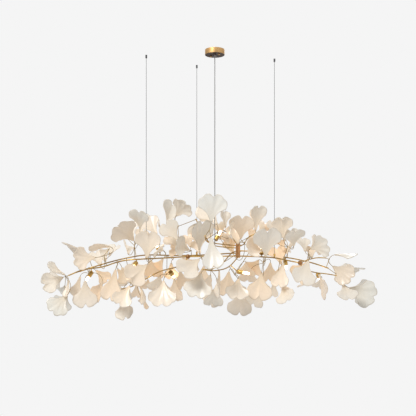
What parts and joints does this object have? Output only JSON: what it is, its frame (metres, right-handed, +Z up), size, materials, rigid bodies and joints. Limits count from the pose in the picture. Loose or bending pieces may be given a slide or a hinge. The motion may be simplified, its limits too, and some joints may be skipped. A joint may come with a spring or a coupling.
{
  "type": "porcelain leaf chandelier",
  "caption": "Long hanging chandelier of white porcelain ginkgo leaves on bent brass branches with small lamps, on thin ceiling wires, with a cord from a round brass canopy.",
  "frame": {"origin": "on the ceiling plane, at the middle of the canopy's bracket", "axes": "+Z up, +X along the branches to the right as seen from the room, -Y towards the viewer"},
  "size_m": [1.6927, 0.541, 1.2924],
  "materials": {
    "porcelain": "satin glaze",
    "branch_brass": "brushed",
    "twig_brass": "drawn wire",
    "canopy_brass": "brushed",
    "bracket_steel": "zinc plated",
    "wire_steel": "drawn wire",
    "anchor_dark": "satin",
    "grey_plastic": "moulded",
    "white_plastic": "moulded",
    "cord_sheath": "smooth sheath",
    "socket_ceramic": "unglazed",
    "lamp_glass": "frosted"
  },
  "bodies": {
    "ceiling_set": {"ceiling_bracket": "bracket_steel", "bracket_studs": "bracket_steel", "terminal_block": "white_plastic", "canopy_cup": "canopy_brass", "canopy_cap_nuts": "canopy_brass", "canopy_gland": "grey_plastic", "canopy_gland_nut": "grey_plastic", "canopy_lead": "cord_sheath", "anchor_bases": "anchor_dark", "anchor_barrels": "anchor_dark"},
    "back_top_ball": {"back_wire_top_ball": "wire_steel"},
    "back_suspension": {"back_wire": "wire_steel"},
    "back_end_ball": {"back_wire_end_ball": "wire_steel"},
    "left_top_ball": {"left_wire_top_ball": "wire_steel"},
    "left_suspension": {"left_wire": "wire_steel", "left_wire_end_ball": "wire_steel"},
    "right_top_ball": {"right_wire_top_ball": "wire_steel"},
    "right_suspension": {"right_wire": "wire_steel", "right_wire_end_ball": "wire_steel"},
    "cord_pivot": {"cord_top_ball": "cord_sheath"},
    "cord": {"power_cord": "cord_sheath"},
    "lamp": {"centre_hub": "branch_brass", "feed_arm": "branch_brass", "feed_block": "branch_brass", "feed_gland": "grey_plastic", "front_leaves": "porcelain", "front_low_branch": "branch_brass", "front_sprigs": "twig_brass", "front_top_branch": "branch_brass", "hanger_barrels": "branch_brass", "hanger_plugs": "branch_brass", "hub_cap": "branch_brass", "lamp_bases": "white_plastic", "lamp_glasses": "lamp_glass", "lamp_holders": "branch_brass", "lamp_sockets": "socket_ceramic", "left_knuckle": "branch_brass", "left_leaves": "porcelain", "left_lower_branch": "branch_brass", "left_sprigs": "twig_brass", "left_top_branch": "branch_brass", "left_upper_branch": "branch_brass", "rear_left_branch": "branch_brass", "rear_left_leaves": "porcelain", "rear_left_sprigs": "twig_brass", "rear_right_branch": "branch_brass", "rear_right_leaves": "porcelain", "rear_right_sprigs": "twig_brass", "rear_top_branch": "branch_brass", "right_branch": "branch_brass", "right_knuckle": "branch_brass", "right_leaves": "porcelain", "right_lower_branch": "branch_brass", "right_sprigs": "twig_brass", "right_top_branch": "branch_brass", "right_upper_branch": "branch_brass", "spine": "branch_brass", "top_leaves": "porcelain", "top_sprigs": "twig_brass"}
  },
  "joints": [
    {"name": "sway_front_back", "type": "hinge", "parent": "ceiling_set", "child": "back_top_ball", "pos_m": [-0.09, 0.257, -0.01], "axis": [1, 0, 0], "range_deg": [-5, 5]},
    {"name": "sway_sideways", "type": "hinge", "parent": "back_top_ball", "child": "back_suspension", "pos_m": [-0.09, 0.257, -0.01], "axis": [0, 1, 0], "range_deg": [-5, 5]},
    {"name": "lamp_level_sideways", "type": "hinge", "parent": "back_suspension", "child": "back_end_ball", "pos_m": [-0.09, 0.257, -0.973], "axis": [0, 1, 0], "range_deg": [-5, 5]},
    {"name": "lamp_level_front_back", "type": "hinge", "parent": "back_end_ball", "child": "lamp", "pos_m": [-0.09, 0.257, -0.973], "axis": [1, 0, 0], "range_deg": [-5, 5]},
    {"name": "left_wire_front_back", "type": "hinge", "parent": "ceiling_set", "child": "left_top_ball", "pos_m": [-0.331, 0.08, -0.01], "axis": [1, 0, 0], "range_deg": [-5, 5]},
    {"name": "left_wire_sideways", "type": "hinge", "parent": "left_top_ball", "child": "left_suspension", "pos_m": [-0.331, 0.08, -0.01], "axis": [0, 1, 0], "range_deg": [-5, 5]},
    {"name": "right_wire_front_back", "type": "hinge", "parent": "ceiling_set", "child": "right_top_ball", "pos_m": [0.298, 0.143, -0.01], "axis": [1, 0, 0], "range_deg": [-5, 5]},
    {"name": "right_wire_sideways", "type": "hinge", "parent": "right_top_ball", "child": "right_suspension", "pos_m": [0.298, 0.143, -0.01], "axis": [0, 1, 0], "range_deg": [-5, 5]},
    {"name": "cord_front_back", "type": "hinge", "parent": "ceiling_set", "child": "cord_pivot", "pos_m": [0, 0, -0.031], "axis": [1, 0, 0], "range_deg": [-5, 5]},
    {"name": "cord_sideways", "type": "hinge", "parent": "cord_pivot", "child": "cord", "pos_m": [0, 0, -0.031], "axis": [0, 1, 0], "range_deg": [-5, 5]}
  ],
  "couplings": [
    {"joint": "lamp_level_sideways", "follows": "sway_sideways", "ratio": -1},
    {"joint": "lamp_level_front_back", "follows": "sway_front_back", "ratio": -1},
    {"joint": "left_wire_front_back", "follows": "sway_front_back", "ratio": 1},
    {"joint": "left_wire_sideways", "follows": "sway_sideways", "ratio": 1},
    {"joint": "right_wire_front_back", "follows": "sway_front_back", "ratio": 1},
    {"joint": "right_wire_sideways", "follows": "sway_sideways", "ratio": 1},
    {"joint": "cord_front_back", "follows": "sway_front_back", "ratio": 1},
    {"joint": "cord_sideways", "follows": "sway_sideways", "ratio": 1}
  ]
}
